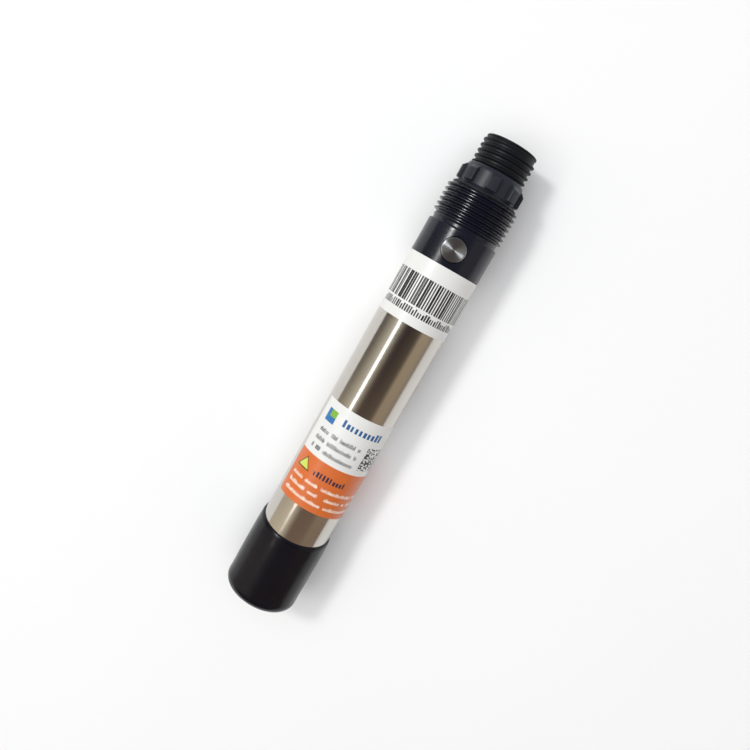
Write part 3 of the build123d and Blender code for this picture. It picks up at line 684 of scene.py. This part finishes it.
def make_sensor_head():
    """Sensing head: window seat, threaded nose, flange and sealed spigot."""
    start, end = span("sensor_head")
    flange_start, flange_end = span("membrane_gasket")[1] + close_fit, span("steel_tube")[0]
    flange_r = reach("sensor_head")
    seat = span("window_seal")[1]
    block_s = span("optics_block")[0] - 2 * close_fit
    window_r = reach("head_window") + close_fit
    bore, lens_bore, groove_r = 8.6, 6.2, 10.2
    nose_r = nose_thread["minor"]
    flange_edge, spigot_edge = 0.25, 0.3
    ends = {"first": start + 1, "start": start + 0.2, "end": flange_start - 0.6}
    thread = nose_thread | ends | {"run_in": 0.8, "run_out": 0.8}
    segments = 256
    rings = [(start + 0.1, window_r), (start, window_r + 0.1), (start, nose_r - 0.4)]
    rings += [(start + 0.12, nose_r - 0.12), (start + 0.4, nose_r)]
    rings += thread_rings(steps_between(start + 0.5, flange_start - 0.2, 0.09), segments, thread)
    rings += [(flange_start - 0.05, nose_r + 0.05), (flange_start, nose_r + 0.2)]
    rings += [(flange_start, flange_r - flange_edge - 0.05)]
    rings += quarter(flange_start, flange_start + flange_edge, flange_r - flange_edge, flange_r, 4)
    rings += [(flange_end - 0.06, flange_r), (flange_end, flange_r - 0.06)]
    rings += [(flange_end, end_spigot_r)]
    for which in (0, 1):
        low, high = groove_span("head_o_rings", which)
        rings += [(low, end_spigot_r), (low, groove_r), (high, groove_r), (high, end_spigot_r)]
    rings += [(end - spigot_edge, end_spigot_r), (end, end_spigot_r - spigot_edge), (end, bore)]
    rings += [(block_s, bore), (block_s, lens_bore), (seat, lens_bore), (seat, window_r)]
    piece = ringed("sensor_head_visual", rings, housing_plastic, segments)
    settle(piece, "probe", "black_plastic", "sensor_head")


def make_steel_tube():
    """Polished tube with broken edges."""
    start, end = span("steel_tube")
    outer = reach("steel_tube")
    bore, edge = 11.7, 0.25
    outline = soften([(start, bore), (start, outer), (end, outer), (end, bore)], edge, 5)
    piece = ringed("steel_tube_visual", outline, steel, 384)
    settle(piece, "probe", "brushed_steel", "steel_tube")


def wrap_label(name, node, left, arc, material, slot):
    """A thin sheet round the tube, from an angle left, in degrees, over an arc."""
    start, end = span(node)
    outer = reach("barcode_label")  # both labels lie at this radius, and this one goes almost all round
    inner = outer - 0.06
    column_arc, edge = 0.9, 0.02
    columns = round(arc / column_arc)
    angles = np.radians(left + np.linspace(0, arc, columns + 1))
    outline = soften([(start, inner), (start, outer), (end, outer), (end, inner)], edge, 2)
    points = [along_probe(np.asarray(s), np.asarray(r), angles) for s, r in outline]
    points = np.concatenate(points).tolist()
    width = columns + 1
    rows = len(outline)
    faces = []
    for i in range(rows):
        this, following = i * width, ((i + 1) % rows) * width
        for k in range(columns):
            faces.append((this + k, this + k + 1, following + k + 1, following + k))
    faces.append([i * width for i in range(rows)])
    faces.append([i * width + columns for i in range(rows)])
    piece = finish_mesh(name, points, faces, material, crease=50)
    settle(piece, "probe", slot, node)


# ================================================================ upper housing
process_thread = {"pitch": 1.814, "minor": 12.06, "major": 13.22, "crest": 0.3, "flank": 0.6}


def make_upper_housing():
    """Plastic housing: plain body, relief neck and process thread, bored for the disc."""
    start, end = span("upper_housing")
    tube_end = span("steel_tube")[1]
    body_r = reach("steel_tube")
    bore_r, mouth_r, spigot_edge = 9.6, cable_spigot_r + close_fit, 0.3
    shoulder, shoulder_edge, edge_steps = 152.6, 0.4, 6
    neck_end, mouth_end = shoulder + 1.2, shoulder - 0.6
    minor = process_thread["minor"]
    ends = {"first": end - 0.8, "start": neck_end, "end": end + 0.4}
    thread = process_thread | ends | {"run_in": 1.6, "run_out": 1.0}
    segments = 320
    rings = [(start, bore_r), (start, end_spigot_r - spigot_edge), (start + spigot_edge, end_spigot_r)]
    rings += [(tube_end - 0.02, end_spigot_r), (tube_end, end_spigot_r + 0.02)]
    rings += [(tube_end, body_r - 0.1), (tube_end + 0.03, body_r - 0.03)]
    rings += [(s, body_r) for s in steps_between(tube_end + 0.1, shoulder - 0.5, 0.6)]
    edge_s, edge_r = shoulder - shoulder_edge, body_r - shoulder_edge
    for k in range(1, edge_steps + 1):
        a = radians(90) * k / edge_steps
        rings.append((edge_s + shoulder_edge * sin(a), edge_r + shoulder_edge * cos(a)))
    rings += [(shoulder, minor + 0.25), (shoulder + 0.06, minor + 0.08), (shoulder + 0.22, minor)]
    rings += thread_rings(steps_between(shoulder + 0.4, end - 0.35, 0.085), segments, thread)
    rings += [(end - 0.12, minor - 0.05), (end, minor - 0.25), (end, mouth_r)]
    rings += [(mouth_end, mouth_r), (mouth_end, bore_r)]
    piece = ringed("upper_housing_visual", rings, housing_plastic, segments)
    cut(piece, disc_hole(body_r))
    settle(piece, "probe", "black_plastic", "upper_housing")


def disc_hole(body_r):
    """What the temperature disc's hole takes out of the housing: a bore with a small countersink."""
    low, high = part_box("temperature_disc")
    hole_r = (high.x - low.x) / 2 / MM + 0.1
    countersunk_r = hole_r + 0.35
    bottom, top = height(low.z) - 2, body_r + 1.5
    outline = [(bottom, 0.0), (bottom, hole_r), (body_r - 0.3, hole_r)]
    outline += [(body_r + 0.05, countersunk_r), (top, countersunk_r), (top, 0.0)]
    return ringed("disc_hole", outline, housing_plastic, 128, up_from_disc, closed=False)


def up_from_disc(level, radius, angle):
    """Points in metres round the temperature disc's own upright axis."""
    low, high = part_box("temperature_disc")
    centre = (low + high) / 2
    x = centre.x + radius * np.cos(angle) * MM
    y = centre.y + radius * np.sin(angle) * MM
    z = axis_z + level * MM
    return np.stack(np.broadcast_arrays(x, y, z), axis=-1)


def make_temperature_disc():
    """Stainless slug with a turned face, a bright bevel and a seal groove."""
    low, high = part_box("temperature_disc")
    face, back = height(high.z), height(low.z)
    outer = (high.x - low.x) / 2 / MM
    bevel = 0.4
    bevel_end = face - bevel
    groove_r, groove_low, groove_high = outer - 0.8, back + 1.2, back + 2.3
    well_r, well_end = 1.1, back + 2
    rings = [(face, r) for r in steps_between(0.0, outer - bevel, 0.25)]
    rings += [(face - 0.05, outer - bevel + 0.1), (bevel_end, outer - 0.05), (bevel_end - 0.1, outer)]
    rings += [(groove_high, outer), (groove_high, groove_r), (groove_low, groove_r), (groove_low, outer)]
    rings += [(back, outer), (back, well_r), (well_end, well_r), (well_end, 0.0)]
    piece = ringed("temperature_disc_visual", rings, turned_steel, 160, up_from_disc, closed=False)
    settle(piece, "probe", "turned_steel", "temperature_disc")


# ================================================================ connector
def make_lock_ring():
    """Lock ring: bevelled foot, eight raised grip lugs with rounded edges and a domed shoulder."""
    start, end = span("lock_ring")
    foot_r = reach("lock_ring")
    base_r, lug_r, top_r, bore_r = 10.5, 11.9, 9.9, cable_spigot_r + close_fit
    bevel_start, bevel_end = start + 0.14, start + 1.3
    lug_start, lug_end, lug_slope, edge = start + 1.5, end - 1.15, 1.4, 0.34
    dome_start, dome_bulge = end - 1.85, 2.2
    lugs, lug_w, first_lug = 8, 4.0, radians(2)
    segments = 768
    angle = np.arange(segments) * TURN / segments
    step = TURN / lugs
    across = np.abs((angle - first_lug + step / 2) % step - step / 2) * lug_r
    inside = np.clip((lug_w / 2 + 0.06 - across) / edge, 0, 1)
    wall = np.sqrt(1 - (1 - inside) ** 2)
    rings = [(start, bore_r), (start, foot_r - 0.08), (start + 0.03, foot_r - 0.02), (start + 0.1, foot_r)]
    stations = list(steps_between(start + 0.16, lug_start - 0.04, 0.1))
    stations += list(steps_between(lug_start, lug_start + 0.4, 0.04))
    stations += list(steps_between(lug_start + 0.5, end - 0.1, 0.1))
    for s in stations:
        foot = foot_r - (foot_r - base_r) * min(1, max(0, (s - bevel_start) / (bevel_end - bevel_start)))
        if s > dome_start:
            share = (s - dome_start) / (end - dome_start)
            foot = top_r + (base_r - top_r) * (1 - share**dome_bulge)
        near = min(1, max(0, (s - lug_start) / edge))
        rise = min(sqrt(1 - (1 - near) ** 2), max(0, (lug_end - s) / lug_slope))
        rings.append((s, foot + (lug_r - foot) * rise * wall))
    rings += [(end - 0.04, top_r - 0.06), (end, top_r - 0.2), (end, bore_r)]
    piece = ringed("lock_ring_visual", rings, collar_plastic, segments)
    settle(piece, "probe", "collar_plastic", "lock_ring")


cable_thread = {"pitch": 2.0, "minor": 9.1, "major": 9.95, "crest": 0.25, "flank": 0.55}


def make_connector_body():
    """Connector: cable thread, rolled rim and keyed socket."""
    start, end = span("connector_body")
    ring_end = span("lock_ring")[1]
    insert_end = span("contact_insert")[1]
    socket_r, key_half_w, key_edge, key_h, key_end = 7.0, 0.95, 0.3, 0.9, end - 2
    minor = cable_thread["minor"]
    rim_r = minor + 0.25
    ends = {"first": ring_end + 0.9, "start": ring_end - 0.3, "end": end - 0.9}
    thread = cable_thread | ends | {"run_in": 0.9, "run_out": 1.2}
    segments = 288
    angle = np.arange(segments) * TURN / segments
    key = smooth_step((key_half_w - np.abs(angle - pi) * socket_r) / key_edge)
    rings = [(start, socket_r), (start, cable_spigot_r - 0.2), (start + 0.2, cable_spigot_r)]
    rings += [(ring_end + 0.08, cable_spigot_r), (ring_end + 0.1, cable_spigot_r + 0.02)]
    rings += [(ring_end + 0.1, minor - 0.05)]
    rings += thread_rings(steps_between(ring_end + 0.15, end - 0.85, 0.08), segments, thread)
    rings += [(end - 0.75, minor), (end - 0.66, rim_r - 0.1), (end - 0.58, rim_r), (end - 0.3, rim_r)]
    rings += [(end - 0.12, rim_r - 0.08), (end - 0.02, rim_r - 0.3), (end, rim_r - 0.5)]
    rings += [(end, socket_r + 0.3), (end - 0.08, socket_r + 0.08), (end - 0.3, socket_r)]
    for s in (key_end + 0.02, key_end - 0.25, insert_end + 0.1, insert_end):
        raised = 0.0 if s > key_end else key_h
        rings.append((s, socket_r - raised * key))
    rings += [(insert_end - 0.02, socket_r)]
    piece = ringed("connector_body_visual", rings, connector_plastic, segments)
    settle(piece, "probe", "connector_plastic", "connector_body")


make_protective_cap()
make_storage_sponge()
make_membrane_cap()
make_membrane_gasket()
make_sensor_head()
make_steel_tube()
wrap_label("product_label_visual", "product_label", -64, 264, product_sheet, "printed_label")
wrap_label("barcode_label_visual", "barcode_label", -177, 354, barcode_sheet, "white_label")
make_upper_housing()
make_temperature_disc()
make_lock_ring()
make_connector_body()

# ================================================================ carried-over CAD nodes
shown_slots = {
    "black_plastic": housing_plastic,
    "collar_plastic": collar_plastic,
    "connector_plastic": connector_plastic,
    "brushed_steel": steel,
}
for part in frame["record"]["subparts"]:
    slot_name = part["material_slot"]
    finish = inner_finishes.get(slot_name) or shown_slots.get(slot_name)
    if finish:
        for material_slot in frame["nodes"][part["node"]].material_slots:
            material_slot.material = finish


# ================================================================ floor, light and camera
def make_floor():
    """Plain pale floor."""
    half, mottle_size = 4.0, 400.0
    mesh = bpy.data.meshes.new("floor")
    corners = [(-half, -half, 0), (half, -half, 0), (half, half, 0), (-half, half, 0)]
    mesh.from_pydata(corners, [], [(0, 1, 2, 3)])
    material, tree, shader = new_material("floor_paper", {"Roughness": 0.9, "Specular IOR Level": 0.1})
    tone = mix(tree, noise(tree, mottle_size), srgb(240, 240, 240), srgb(246, 246, 245))
    tree.links.new(tone, shader.inputs["Base Color"])
    mesh.materials.append(material)
    floor = bpy.data.objects.new("floor", mesh)
    bpy.context.scene.collection.objects.link(floor)


def make_area_light(name, along, size, watts):
    """A soft rectangular light above and to the left, at a place along X, facing the probe's axis."""
    a, distance = radians(-33.5), 1.05
    light = bpy.data.lights.new(name, "AREA")
    light.shape = "RECTANGLE"
    light.size, light.size_y = size
    light.energy = watts
    lamp = bpy.data.objects.new(name, light)
    lamp.location = Vector((along, 0, axis_z)) + distance * Vector((0, -sin(a), cos(a)))
    lamp.rotation_euler = (a, 0, 0)
    bpy.context.scene.collection.objects.link(lamp)


def make_sky_light():
    """Even, very soft light from above over the whole floor, left out of reflections."""
    light = bpy.data.lights.new("sky_light", "SUN")
    light.energy = 1.84
    light.angle = radians(80)
    light.color = (0.91, 0.95, 1.0)
    lamp = bpy.data.objects.new("sky_light", light)
    lamp.rotation_euler = (radians(-6), 0, 0)
    lamp.visible_glossy = False
    bpy.context.scene.collection.objects.link(lamp)


def make_surroundings():
    """Studio round the probe: dark ceiling, grey left side and tan right side, set by the angle about
    the probe's axis, with tints that take over along it, and a pale backdrop for the camera."""
    world = bpy.data.worlds.new("studio")
    world.use_nodes = True
    tree = world.node_tree
    where = add_node(tree, "TexCoord").outputs["Generated"]
    axes = add_node(tree, "SeparateXYZ", {"Vector": where})
    along = axes.outputs["X"]
    side = maths(tree, "MULTIPLY", axes.outputs["Y"], -1.0)
    turn = maths(tree, "ARCTAN2", side, axes.outputs["Z"])
    ramp = add_node(tree, "ValToRGB", {"Fac": ranged(tree, turn, 0.0, 1.0, -pi, pi)})
    stops = [
        (-180, (0.5, 0.5, 0.5)),
        (-104, (0.5, 0.5, 0.49)),
        (-98, (0.15, 0.13, 0.11)),
        (-84, (0.15, 0.13, 0.11)),
        (-74, (0.22, 0.19, 0.15)),
        (-45, (0.58, 0.54, 0.44)),
        (-22, (0.3, 0.27, 0.21)),
        (-9, (0.075, 0.055, 0.048)),
        (2, (0.05, 0.035, 0.035)),
        (33, (0.1, 0.08, 0.06)),
        (41, (0.2, 0.16, 0.12)),
        (47, (0.47, 0.38, 0.27)),
        (72, (0.45, 0.37, 0.27)),
        (84, (0.34, 0.28, 0.22)),
        (92, (0.45, 0.42, 0.38)),
        (104, (0.5, 0.5, 0.49)),
    ]
    elements = ramp.color_ramp.elements
    while len(elements) < len(stops):
        elements.new(0.5)
    for element, (degrees, colour) in zip(elements, stops):
        element.position = (degrees + 180) / 360
        element.color = (*colour, 1)
    colour = ramp.outputs["Color"]
    greyed = add_node(tree, "HueSaturation", {"Color": colour, "Saturation": 0.2}).outputs["Color"]
    to_right = ranged(tree, turn, 0.0, 1.0, -0.6, -0.15)
    warm = mix(tree, to_right, (0.8, 0.7, 0.55, 1), (0.27, 0.19, 0.14, 1))
    # each tint's largest share, and where along X it sets in and is at its full share
    tints = [
        (greyed, 1.0, -0.04, 0.06),
        (warm, 0.9, -0.14, -0.42),
        ((0.3, 0.31, 0.33, 1), 1.0, 0.35, 0.7),
        ((0.08, 0.085, 0.1, 1), 1.0, -0.6, -0.78),
    ]
    for tint, share, sets_in, full in tints:
        colour = mix(tree, ranged(tree, along, 0.0, share, sets_in, full), colour, tint)
    seen = add_node(tree, "LightPath").outputs["Is Camera Ray"]
    colour = mix(tree, seen, colour, srgb(244, 244, 244))
    tree.links.new(colour, tree.nodes["Background"].inputs["Color"])
    bpy.context.scene.world = world


def make_camera():
    """Camera over the connector's end, looking down and leaning back towards the cap."""
    station, above_axis = 139.06, 257.4
    data = bpy.data.cameras.new("camera")
    data.sensor_width = 36
    data.lens = 35.17
    data.clip_start = 0.01
    camera = bpy.data.objects.new("camera", data)
    turn = Matrix.Identity(4)
    for degrees, axis in ((-90, "Z"), (0.49, "Y"), (-9.74, "X"), (29.72, "Z")):
        turn = turn @ Matrix.Rotation(radians(degrees), 4, axis)
    spot = Vector((tip_x + station * MM, 0, axis_z + above_axis * MM))
    camera.matrix_world = Matrix.Translation(spot) @ turn
    bpy.context.scene.collection.objects.link(camera)
    bpy.context.scene.camera = camera


make_floor()
make_area_light("strip_light", -0.17, (0.56, 0.13), 0.85)
make_area_light("key_light", 0.19, (0.16, 0.17), 3.3)
make_sky_light()
make_surroundings()
make_camera()
bpy.context.scene.view_settings.view_transform = "Standard"
